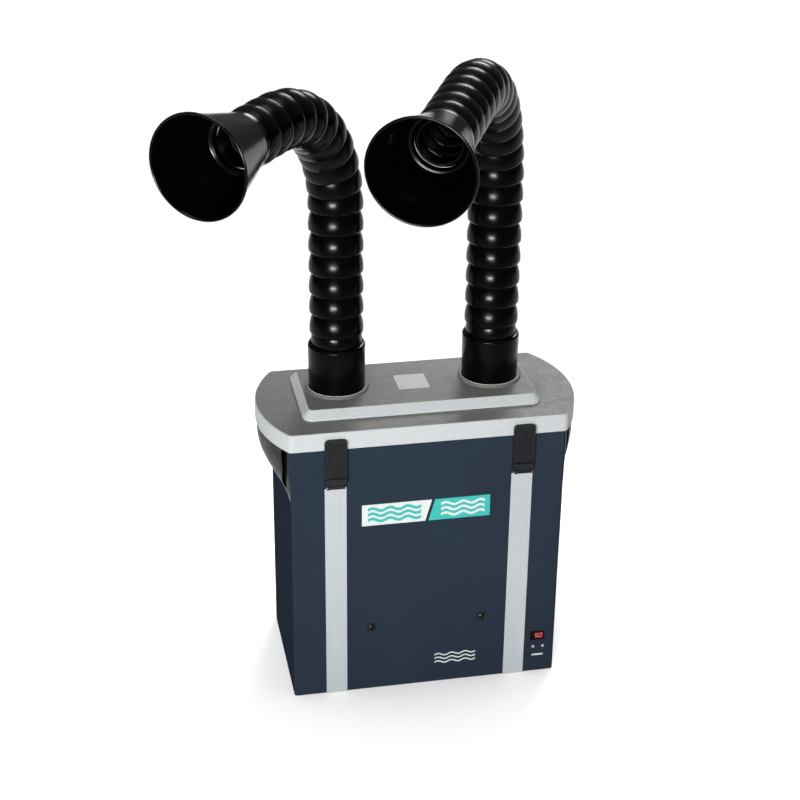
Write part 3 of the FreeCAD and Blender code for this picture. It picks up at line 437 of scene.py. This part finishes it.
def prism(outline, low, high, upright="z"):
    """An outline (u, v) extruded between two levels along z, or along y for a front outline (x, z)."""
    bm = bmesh.new()
    rings = []
    for level in (low, high):
        if upright == "z":
            rings.append([bm.verts.new((p[0], p[1], level)) for p in outline])
        else:
            rings.append([bm.verts.new((p[0], level, p[1])) for p in outline])
    bm.faces.new(rings[0])
    bm.faces.new(reversed(rings[1]))
    count = len(outline)
    for number in range(count):
        after = (number + 1) % count
        bm.faces.new((rings[0][number], rings[0][after], rings[1][after], rings[1][number]))
    return bm


def rectangle(u0, v0, u1, v1, radius=0, steps=5):
    """A rectangle's outline with rounded corners."""
    corners = [(u0, v0, radius), (u1, v0, radius), (u1, v1, radius), (u0, v1, radius)]
    return rounded_path(corners, steps)


def join(target, source):
    """Adds one bmesh to another."""
    mesh = bpy.data.meshes.new("part")
    source.to_mesh(mesh)
    source.free()
    target.from_mesh(mesh)
    bpy.data.meshes.remove(mesh)
    return target


def dress_nodes(slot, *names, bevel=0):
    """Gives CAD nodes that keep their own shape a finish, and rounds their edges if asked."""
    for name in names:
        piece = frame["nodes"][name]
        for place in piece.material_slots:
            place.material = MATERIALS[slot]
        if bevel:
            weld = piece.modifiers.new("weld", "WELD")
            weld.merge_threshold = 0.00001
            soften(piece, bevel, 2)


# ----------------------------------------------------------------------------------------------
# Arms
# ----------------------------------------------------------------------------------------------


def arm_joints(name):
    """The number of the last bending joint, and the centres of all ball joints from cuff to hood."""
    known = {0: joint_place(f"{name}_lean_0"), FOOT_SEGMENTS: joint_place(f"{name}_lean_{FOOT_SEGMENTS}")}
    prefix = f"{name}_bend_"
    for joint in JOINTS:
        if joint.startswith(prefix):
            known[int(joint.removeprefix(prefix))] = joint_place(joint)
    pitch = (known[FOOT_SEGMENTS] - known[0]).length / FOOT_SEGMENTS
    last_bend = max(known)
    tip = joint_place(f"{name}_hood_tilt")
    count = last_bend + round((tip - known[last_bend]).length / pitch)
    known[count] = tip
    centres = []
    for number in range(count + 1):
        below = max(k for k in known if k <= number)
        above = min(k for k in known if k >= number)
        share = (number - below) / max(above - below, 1)
        centres.append(known[below].lerp(known[above], share))
    return last_bend, centres


def joint_place(name):
    """Where a joint of the frame is at rest."""
    return Vector(JOINTS[name]["pos_m"])


def aimed(base, direction, side):
    """A placement at base with Z along the direction and Y along the arm's hinge axis."""
    z = direction.normalized()
    x = side.cross(z).normalized()
    y = z.cross(x)
    turn = Matrix((x, y, z)).transposed().to_4x4()
    return Matrix.Translation(base) @ turn


def inner_lip():
    """Where a lip's inner face rides on the ball, at its foot and at its land."""
    ride = BALL_RADIUS + JOINT_GAP
    land = LIP_FOOT + 5 * MM
    return [
        (math.sqrt(ride**2 - land**2), land, 0),
        (math.sqrt(ride**2 - (ride * 0.36) ** 2), ride * 0.36, 0),
        (math.sqrt(ride**2 - LIP_FOOT**2), LIP_FOOT, 0.4 * MM),
    ]


def dome(pitch):
    """The segment's outer face: from the belly above its lip to the neck under the next lip."""
    foot = LIP_FOOT + 1.6 * MM
    head = pitch + LIP_FOOT - 0.5 * MM
    steps = 18
    points = []
    for step in range(steps + 1):
        level = foot + (head - foot) * step / steps
        drop = level - BELLY_LEVEL
        points.append((BELLY_RADIUS - DOME_RADIUS + math.sqrt(DOME_RADIUS**2 - drop**2), level, 0))
    return points


def segment_profile(pitch):
    """Closed profile of one hose segment: lip, dome, the ball that snaps into the next lip, and bore."""
    corners = inner_lip()
    corners.append((LIP_RADIUS - 1.4 * MM, LIP_FOOT, 1.2 * MM))
    corners += dome(pitch)
    snap = LIP_FOOT + 0.8 * MM
    corners += arc_points(BALL_RADIUS - 0.15 * MM, pitch, snap, BALL_TOP - 0.8 * MM, 8)
    tip = math.sqrt(BALL_RADIUS**2 - BALL_TOP**2) - 0.3 * MM
    corners.append((tip, pitch + BALL_TOP, 0.6 * MM))
    corners += arc_points(BALL_RADIUS - HOSE_WALL, pitch, BALL_TOP - 0.2 * MM, LIP_FOOT + 5.2 * MM, 4)
    corners.append((HOSE_BORE, LIP_FOOT + 10.2 * MM, 1 * MM))
    return rounded_path(corners)


def make_segments(name, centres, last_bend, hinge):
    """The hose's segments: the single ones, and the groups that move as one body."""
    profile = segment_profile((centres[1] - centres[0]).length)
    first_bend = min(int(joint.split("_")[-1]) for joint in JOINTS if joint.startswith(f"{name}_bend_"))
    groups = {
        f"{name}_foot": range(0, FOOT_SEGMENTS),
        f"{name}_column": range(FOOT_SEGMENTS, first_bend),
        f"{name}_end": range(last_bend, len(centres) - 1),
    }
    for number in range(first_bend, last_bend):
        groups[f"{name}_hose_{number + 1}"] = [number]
    for body, members in groups.items():
        node = body.replace(name, name + "_hose", 1) if "hose" not in body else body
        bm = bmesh.new()
        for number in members:
            part = lathe(profile)
            place = aimed(centres[number], centres[number + 1] - centres[number], hinge)
            part.transform(place)
            join(bm, part)
        make_piece(node + "_rings", bm, body, "black_gloss", replaces=[node], sharp=50)


def make_cuff(name, foot_centre):
    """The cuff: a plain tube with a rolled shoulder, and the first ball above it."""
    low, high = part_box(f"{name}_arm_cuff")
    radius = (high.x - low.x) / 2
    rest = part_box(f"{name}_arm_socket")[1].z - foot_centre.z
    shoulder = -6 * MM
    spigot = 36 * MM
    bore = spigot - 2.5 * MM
    corners = [
        (bore, low.z - foot_centre.z, 0.5 * MM),
        (spigot, low.z - foot_centre.z, 0.5 * MM),
        (spigot, rest, 0),
        (radius - 0.6 * MM, rest, 0.8 * MM),
        (radius, shoulder - 3.2 * MM, 2.6 * MM),
        (radius - 1.8 * MM, shoulder - 0.4 * MM, 1.2 * MM),
        (BALL_RADIUS + 0.6 * MM, shoulder, 0.5 * MM),
    ]
    corners += arc_points(BALL_RADIUS, 0, shoulder - 0.5 * MM, BALL_TOP - 0.8 * MM, 12)
    corners.append((math.sqrt(BALL_RADIUS**2 - BALL_TOP**2) - 0.3 * MM, BALL_TOP, 0.6 * MM))
    corners += arc_points(BALL_RADIUS - HOSE_WALL, 0, BALL_TOP - 0.2 * MM, 0, 6)
    corners.append((bore, -14 * MM, 3 * MM))
    place = Matrix.Translation(foot_centre)
    bm = lathe(rounded_path(corners), 128)
    make_piece(
        f"{name}_cuff_moulding", bm, f"{name}_cuff", "black_gloss",
        replaces=[f"{name}_arm_cuff"], sharp=50, place=place,
    )


def make_socket_ring(name):
    """The boss ring in the lid, grey with the lid top's painted shade, with a rounded shoulder and a lip
    round the cuff in the lid's own pale grey, which serves as a painted highlight line.
    """
    low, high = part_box(f"{name}_arm_socket")
    ring = (high.x - low.x) / 2
    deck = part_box("lid")[1].z
    centre = Vector(((low.x + high.x) / 2, (low.y + high.y) / 2, 0))
    bore = 36.05 * MM
    tube = 41 * MM
    corners = [
        (bore, low.z, 0.5 * MM),
        (tube, low.z, 0.5 * MM),
        (tube, deck, 0),
        (ring, deck, 0),
        (ring, high.z, 1.6 * MM),
        (SEAL_RADIUS - 0.4 * MM, high.z, 0.3 * MM),
        (SEAL_RADIUS - 0.8 * MM, high.z - 0.5 * MM, 0.2 * MM),
        (bore, high.z - 0.5 * MM, 0.3 * MM),
    ]
    bm = lathe(rounded_path(corners), 128)
    make_piece(
        f"{name}_socket_ring", bm, "lid", "lid_plastic", RING_PAINTED_SHADE,
        replaces=[f"{name}_arm_socket"], sharp=50, place=Matrix.Translation(centre),
    )
    # Lip in the lid's own pale grey, set as a painted highlight round the cuff's foot.
    section = ring_points(SEAL_RADIUS, high.z, 0.7 * MM, 0, 340, 14)
    lip = lathe([Vector(point[:2]) for point in section], 128)
    make_piece(f"{name}_socket_lip", lip, "lid", "lid_plastic", RING_PALE_HIGHLIGHT, place=Matrix.Translation(centre))


def make_hood(name, centre, direction, hinge):
    """The polished cone with its rolled mouth and a bead round its throat."""
    throat = BALL_RADIUS - HOSE_WALL
    neck = LIP_FOOT + 8 * MM
    corners = inner_lip()
    corners.append((LIP_RADIUS - 0.1 * MM, LIP_FOOT, 1.1 * MM))
    corners.append((LIP_RADIUS + 0.2 * MM, neck, 6 * MM))
    corners.append((HOOD_MOUTH - 1 * MM, HOOD_LENGTH - HOOD_BEAD * 2.4, 3 * MM))
    corners += ring_points(HOOD_MOUTH + HOOD_BEAD * 0.1, HOOD_LENGTH - HOOD_BEAD, HOOD_BEAD, -70, 150)
    corners.append((HOOD_MOUTH - HOSE_WALL, HOOD_LENGTH - HOOD_BEAD * 1.6, 1 * MM))
    corners.append((throat + 4.4 * MM, neck + 9 * MM, 2 * MM))
    corners += ring_points(throat + 0.6 * MM, neck + 5.5 * MM, 1.5 * MM, 60, 250)
    corners.append((throat, LIP_FOOT + 7 * MM, 0.8 * MM))
    place = aimed(centre, direction, hinge)
    bm = lathe(rounded_path(corners, 8), 160)
    make_piece(
        f"{name}_hood_cone", bm, f"{name}_hood", "black_gloss", HOOD_GLOSS,
        replaces=[f"{name}_hood"], sharp=60, place=place,
    )


def ring_points(u, v, radius, start, end, steps=9):
    """Points of a bead's section about (u, v), from one angle to another in degrees."""
    points = []
    for step in range(steps + 1):
        angle = math.radians(start + (end - start) * step / steps)
        points.append((u + radius * math.cos(angle), v + radius * math.sin(angle), 0))
    return points


def make_arm(name):
    """Socket, cuff, hose and hood of one arm."""
    last_bend, centres = arm_joints(name)
    hinge = Vector(JOINTS[f"{name}_hood_tilt"]["axis"])
    make_socket_ring(name)
    make_cuff(name, centres[0])
    make_segments(name, centres, last_bend, hinge)
    make_hood(name, centres[-1], centres[-1] - centres[-2], hinge)


# ----------------------------------------------------------------------------------------------
# Latches, front panel art and small trim
# ----------------------------------------------------------------------------------------------


def make_latch(name):
    """The ribbed toggle: a thin moulded tongue with raised ribs and a thick pull at its foot."""
    low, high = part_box(f"{name}_latch")
    pin = joint_place(f"{name}_latch_hinge")
    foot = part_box("latch_brackets")[1].z + 0.6 * MM
    thickness = 6 * MM
    back = min(high.y, pin.y + 3.7 * MM)
    face = back - thickness
    sunk = face + 1 * MM
    crown = 6 * MM
    outline = rounded_path([
        (low.x, foot, 1.5 * MM),
        (high.x, foot, 1.5 * MM),
        (high.x, high.z, crown),
        (low.x, high.z, crown),
    ], 8)
    bm = prism(outline, face, back, "y")
    rib_count = 6
    rib_share = 0.56
    rib_rise = 1.3 * MM
    rib_foot = 15 * MM
    margin = 3.5 * MM
    pitch = (high.x - low.x - 2 * margin) / rib_count
    for number in range(rib_count):
        left = low.x + margin + pitch * (number + (1 - rib_share) / 2)
        rib = rectangle(left, foot + rib_foot, left + pitch * rib_share, high.z - crown, 1 * MM)
        join(bm, prism(rib, face - rib_rise, sunk, "y"))
    pull_rise = 2.8 * MM
    pull = rectangle(low.x + 1 * MM, foot + 1.5 * MM, high.x - 1 * MM, foot + 11 * MM, 2 * MM)
    join(bm, prism(pull, face - pull_rise, sunk, "y"))
    lug = 6.6 * MM
    pin_bore = 2.1 * MM
    barrel = 3.5 * MM
    left, right = low.x + lug, high.x - lug
    section = [(pin_bore, left), (barrel, left), (barrel, right), (pin_bore, right)]
    knuckle = lathe([Vector(point) for point in section], 40)
    knuckle.transform(Matrix.Translation((0, pin.y, pin.z)) @ Matrix.Rotation(math.radians(90), 4, "Y"))
    join(bm, knuckle)
    web = rectangle(left, pin.z + 2.2 * MM, right, foot + 1 * MM)
    join(bm, prism(web, pin.y - 2.2 * MM, pin.y + 3.4 * MM, "y"))
    make_piece(
        f"{name}_latch_moulding", bm, f"{name}_latch", "black_plastic",
        replaces=[f"{name}_latch"], bevel=0.5 * MM,
    )


def print_on_front(name, outline, material, rise=0.12, slot="button_white", face=None):
    """A thin printed field on the front panel, from its outline (x, z) in mm."""
    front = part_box("cabinet")[0].y if face is None else face
    points = [Vector((u * MM, v * MM)) for u, v in outline]
    make_piece(name, prism(points, front - rise * MM, front - 0.01 * MM, "y"), "cabinet", slot, material)


def wave(left, level, length, swing, thick, turns):
    """Outline of a wavy ribbon in mm: an air-flow line."""
    steps = int(16 * turns)
    upper = []
    lower = []
    for step in range(steps + 1):
        u = left + length * step / steps
        v = level + swing * math.sin(2 * math.pi * turns * step / steps)
        slope = swing * 2 * math.pi * turns / length * math.cos(2 * math.pi * turns * step / steps)
        reach = thick / 2 * math.sqrt(1 + slope * slope)
        upper.append((u, v + reach))
        lower.append((u, v - reach))
    return lower + upper[::-1]


def make_waves(name, left, levels, length, material, swing, thick, turns):
    """Several air-flow lines above each other."""
    for number, level in enumerate(levels):
        outline = wave(left, level, length, swing, thick, turns)
        print_on_front(f"{name}_{number + 1}", outline, material, rise=0.2)


def make_front_art():
    """The banner's two plain colour fields with air-flow lines, the lower mark and the white bar."""
    left, right, foot, head = -103, 95, 297, 333
    lean = 10
    gap = 5
    middle = -3
    white = [(left, foot), (middle - gap / 2, foot), (middle + lean - gap / 2, head), (left, head)]
    teal = [(middle + gap / 2, foot), (right, foot), (right, head), (middle + lean + gap / 2, head)]
    print_on_front("banner_white_field", white, PRINT_WHITE)
    print_on_front("banner_teal_field", teal, PRINT_TEAL)
    levels = (foot + 9, foot + 18, foot + 27)
    make_waves("banner_teal_wave", left + 9, levels, 82, PRINT_TEAL, swing=2.4, thick=4.8, turns=3)
    make_waves("banner_white_wave", middle + 22, levels, 68, PRINT_WHITE, swing=2.4, thick=4, turns=2.5)
    make_waves("lower_mark_wave", 14, (36, 43, 50), 66, PRINT_WHITE, swing=1.8, thick=2.2, turns=3)
    bar = [(174, 29), (192, 29), (192, 31.8), (174, 31.8)]
    print_on_front("white_bar", bar, PRINT_WHITE)


def digit_segments(left, foot, wide, high):
    """The seven bars of one digit as outlines in mm, by their usual letters."""
    stroke = wide * 0.2
    half = high / 2

    def bar(u, v, length, upright):
        """A bar with pointed ends, from its first end."""
        tip = stroke / 2
        points = [(0, 0), (tip, tip), (length - tip, tip), (length, 0), (length - tip, -tip), (tip, -tip)]
        if upright:
            points = [(-b, a) for a, b in points]
        return [(u + a + (v + b - foot) * 0.12, v + b) for a, b in points]

    play = 0.2
    across = wide - play * 2
    tall = half - play * 2
    return {
        "a": bar(left + play, foot + high, across, False),
        "b": bar(left + wide, foot + half + play, tall, True),
        "c": bar(left + wide, foot + play, tall, True),
        "d": bar(left + play, foot, across, False),
        "e": bar(left, foot + play, tall, True),
        "f": bar(left, foot + half + play, tall, True),
        "g": bar(left + play, foot + half, across, False),
    }


def make_digits():
    """Two seven-segment digits just in front of the smoked window."""
    low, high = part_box("display_window")
    middle = (low.x + high.x) / 2 / MM
    width, height = 4.4, 7.4
    foot = (low.z + high.z) / 2 / MM - height / 2
    for place, digit in ((-3.6, "5"), (3, "0")):
        for letter, outline in digit_segments(middle + place, foot, width, height).items():
            lit = letter in SEGMENTS_OF_DIGIT[digit]
            name = f"digit_{digit}_{letter}"
            material = DIGIT_LIT if lit else DIGIT_DARK
            print_on_front(name, outline, material, rise=0.08, slot="window", face=low.y)


def make_rating_plate():
    """The blank rating plate on the lid's plateau, with empty field lines."""
    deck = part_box("lid")[1].z
    x, y = -4 * MM, 9 * MM
    half_width, half_depth = 24 * MM, 25 * MM
    thickness = 0.4 * MM
    outline = rectangle(x - half_width, y - half_depth, x + half_width, y + half_depth, 2 * MM)
    plate = prism(outline, deck, deck + thickness)
    make_piece("rating_plate", plate, "lid", "silver_strip", LABEL_SILVER, bevel=0.15 * MM)
    half_line, line_width, line_pitch = 19 * MM, 0.8 * MM, 8 * MM
    line_count = 5
    for number in range(line_count):
        level = y + line_pitch * (number - (line_count - 1) / 2)
        line = rectangle(x - half_line, level, x + half_line, level + line_width)
        print_line = prism(line, deck + thickness, deck + thickness + 0.05 * MM)
        make_piece(f"rating_plate_line_{number + 1}", print_line, "lid", "silver_strip", LABEL_LINE)


def make_screw(name, place, radius):
    """A domed screw head with a socket, facing the rear."""
    corners = [
        (0.0002 * MM, 0.2 * radius, 0),
        (radius * 0.42, 0.2 * radius, 0),
        (radius * 0.42, 0.62 * radius, radius * 0.05),
        (radius * 0.8, 0.5 * radius, radius * 0.3),
        (radius, 0.05 * radius, radius * 0.05),
        (radius * 0.98, 0, 0),
        (0.0002 * MM, 0, 0),
    ]
    turn = Matrix.Rotation(math.radians(-90), 4, "X")
    bm = lathe(rounded_path(corners, 4), 32)
    bmesh.ops.remove_doubles(bm, verts=bm.verts, dist=0.00001)
    make_piece(name, bm, "cabinet", "steel", DARK_STEEL, place=Matrix.Translation(place) @ turn)


def crossed_head(radius, rise):
    """A pan head with a cross recess, on a polar grid in the XY plane."""
    rounds, spokes = 16, 72
    slot_half = radius * 0.17
    slot_reach = radius * 0.56
    slot_share = 0.45
    bm = bmesh.new()
    rings = []
    for step in range(1, rounds + 1):
        out = radius * step / rounds
        ring = []
        for spoke in range(spokes):
            angle = 2 * math.pi * spoke / spokes
            x, y = out * math.cos(angle), out * math.sin(angle)
            level = rise * math.sqrt(1 - (step / rounds) ** 3)
            near, far = sorted((abs(x), abs(y)))
            if near < slot_half and far < slot_reach:
                level *= slot_share
            ring.append(bm.verts.new((x, y, level)))
        rings.append(ring)
    crown = bm.verts.new((0, 0, rise * 0.4))
    for spoke in range(spokes):
        after = (spoke + 1) % spokes
        bm.faces.new((crown, rings[0][spoke], rings[0][after]))
        for inner, outer in zip(rings, rings[1:]):
            bm.faces.new((inner[spoke], outer[spoke], outer[after], inner[after]))
    bm.faces.new(reversed(rings[-1]))
    return bm


def make_front_screws():
    """The two black pan heads in the front panel, each on a flanged washer."""
    low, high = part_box("front_screws")
    radius = 5.6 * MM
    hole, rim, chamfer = 1 * MM, 8.2 * MM, 7 * MM
    edge, top = 0.5 * MM, 0.9 * MM
    flange = [(hole, 0), (rim, 0), (rim, edge), (chamfer, top), (hole, top)]
    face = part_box("cabinet")[0].y
    bm = bmesh.new()
    for x, z in ((low.x + radius, low.z + radius), (high.x - radius, high.z - radius)):
        head = crossed_head(radius * 1.15, 3.4 * MM)
        join(head, lathe([Vector(point) for point in flange], 48))
        head.transform(Matrix.Translation((x, face, z)) @ Matrix.Rotation(math.radians(90), 4, "X"))
        join(bm, head)
    make_piece("front_screw_heads", bm, "cabinet", "steel", SCREW_BLACK, replaces=["front_screws"], sharp=40)


def make_rear_screws():
    """Screws at the corners of the outlet grille and beside the mains inlet."""
    low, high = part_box("exhaust_grille")
    inset = 4.5 * MM
    number = 0
    for x in (low.x + inset, high.x - inset):
        for z in (low.z + inset, high.z - inset):
            number += 1
            make_screw(f"grille_screw_{number}", (x, high.y, z), 2.4 * MM)
    low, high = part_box("power_inlet")
    for number, x in enumerate((low.x + 5 * MM, high.x - 5 * MM), start=1):
        make_screw(f"inlet_screw_{number}", (x, high.y, (low.z + high.z) / 2), 2.6 * MM)


# ----------------------------------------------------------------------------------------------
# Camera, lights and floor
# ----------------------------------------------------------------------------------------------


def make_camera():
    """The camera, in front and a little to the left, looking down on the lid."""
    azimuth = math.radians(-11.51)
    elevation = math.radians(25.97)
    roll = math.radians(0.655)
    distance = 2.438
    focal_length = 75.18
    target = Vector((-0.0467, -0.115, 0.5043))
    back = Vector((
        math.sin(azimuth) * math.cos(elevation),
        -math.cos(azimuth) * math.cos(elevation),
        math.sin(elevation),
    ))
    right = Vector((math.cos(azimuth), math.sin(azimuth), 0))
    up = back.cross(right)
    across = right * math.cos(roll) + up * math.sin(roll)
    upward = up * math.cos(roll) - right * math.sin(roll)
    data = bpy.data.cameras.new("camera")
    data.sensor_width = 36
    data.lens = focal_length
    data.clip_end = 50
    camera = bpy.data.objects.new("camera", data)
    turn = Matrix((across, upward, back)).transposed().to_4x4()
    camera.matrix_world = Matrix.Translation(target + back * distance) @ turn
    bpy.context.scene.collection.objects.link(camera)
    bpy.context.scene.camera = camera


def softbox(name, place, aim, size, power, beam):
    """A rectangular area light that faces a point, its beam narrowed to that many degrees."""
    data = bpy.data.lights.new(name, "AREA")
    data.shape = "RECTANGLE"
    data.size, data.size_y = size
    data.energy = power
    data.spread = math.radians(beam)
    light = bpy.data.objects.new(name, data)
    place = Vector(place)
    light.rotation_mode = "QUATERNION"
    light.location = place
    light.rotation_quaternion = (Vector(aim) - place).to_track_quat("-Z", "Y")
    bpy.context.scene.collection.objects.link(light)


def make_floor():
    """A wide pale floor."""
    bm = prism(rectangle(-12, -12, 12, 12, 1), -0.02, 0)
    mesh = bpy.data.meshes.new("floor")
    bmesh.ops.recalc_face_normals(bm, faces=bm.faces)
    bm.to_mesh(mesh)
    bm.free()
    finish = Finish("pale_floor", (0.93, 0.93, 0.93), 0.8, Specular_IOR_Level=0.1)
    finish.vary_roughness(finish.noise(3, 2), 0.75, 0.85)
    mesh.materials.append(finish.material)
    floor = bpy.data.objects.new("floor", mesh)
    bpy.context.scene.collection.objects.link(floor)


def make_surround():
    """A dim surround that brightens upwards and to one side, with a pale backdrop in the camera's view."""
    world = bpy.data.worlds.new("surround")
    world.use_nodes = True
    nodes = world.node_tree.nodes
    links = world.node_tree.links
    tilt = nodes.new("ShaderNodeMapping")
    tilt.inputs["Rotation"].default_value = (math.radians(8), math.radians(-10), 0)
    links.new(nodes.new("ShaderNodeTexCoord").outputs["Generated"], tilt.inputs["Vector"])
    split = nodes.new("ShaderNodeSeparateXYZ")
    links.new(tilt.outputs["Vector"], split.inputs["Vector"])
    strength = nodes.new("ShaderNodeMapRange")
    strength.inputs["To Min"].default_value = HORIZON_STRENGTH
    strength.inputs["To Max"].default_value = ZENITH_STRENGTH
    links.new(split.outputs["Z"], strength.inputs["Value"])
    backdrop = nodes.new("ShaderNodeMath")
    backdrop.operation = "MULTIPLY_ADD"
    backdrop.inputs[1].default_value = BACKDROP_STRENGTH
    links.new(nodes.new("ShaderNodeLightPath").outputs["Is Camera Ray"], backdrop.inputs[0])
    links.new(strength.outputs["Result"], backdrop.inputs[2])
    background = nodes["Background"]
    background.inputs["Color"].default_value = (1, 1, 1, 1)
    links.new(backdrop.outputs["Value"], background.inputs["Strength"])
    bpy.context.scene.world = world
    bpy.context.scene.view_settings.view_transform = "Standard"


def make_stage():
    """Floor, surround and lights."""
    make_floor()
    make_surround()
    for settings in SOFTBOXES:
        softbox(*settings)


# ----------------------------------------------------------------------------------------------
# The whole
# ----------------------------------------------------------------------------------------------

dress_nodes("body_paint", "cabinet")
dress_nodes("lid_plastic", "lid")
dress_nodes("black_plastic", "left_handle", "right_handle", "latch_brackets", "exhaust_grille",
            "power_inlet", "switch_housing", "switch_rocker")
dress_nodes("silver_strip", "front_strips", bevel=0.0005)
dress_nodes("steel", "hinge_lower_leaves", "hinge_upper_leaves", "hinge_pins", "motor", "power_supply")
dress_nodes("zinc_sheet", "base_plate", "filter_shelf", "blower_housing")
dress_nodes("foam", "lid_gasket")
dress_nodes("filter_card", "main_filter")
dress_nodes("filter_mat", "pre_filter")
dress_nodes("wheel_plastic", "impeller")
dress_nodes("board", "control_board")
dress_nodes("window", "display_window", "digit_display")
dress_nodes("button_white", "up_button", "down_button")
for side in SIDES:
    make_arm(side)
    make_latch(side)
make_front_art()
make_digits()
make_rating_plate()
make_front_screws()
make_rear_screws()

make_stage()
make_camera()
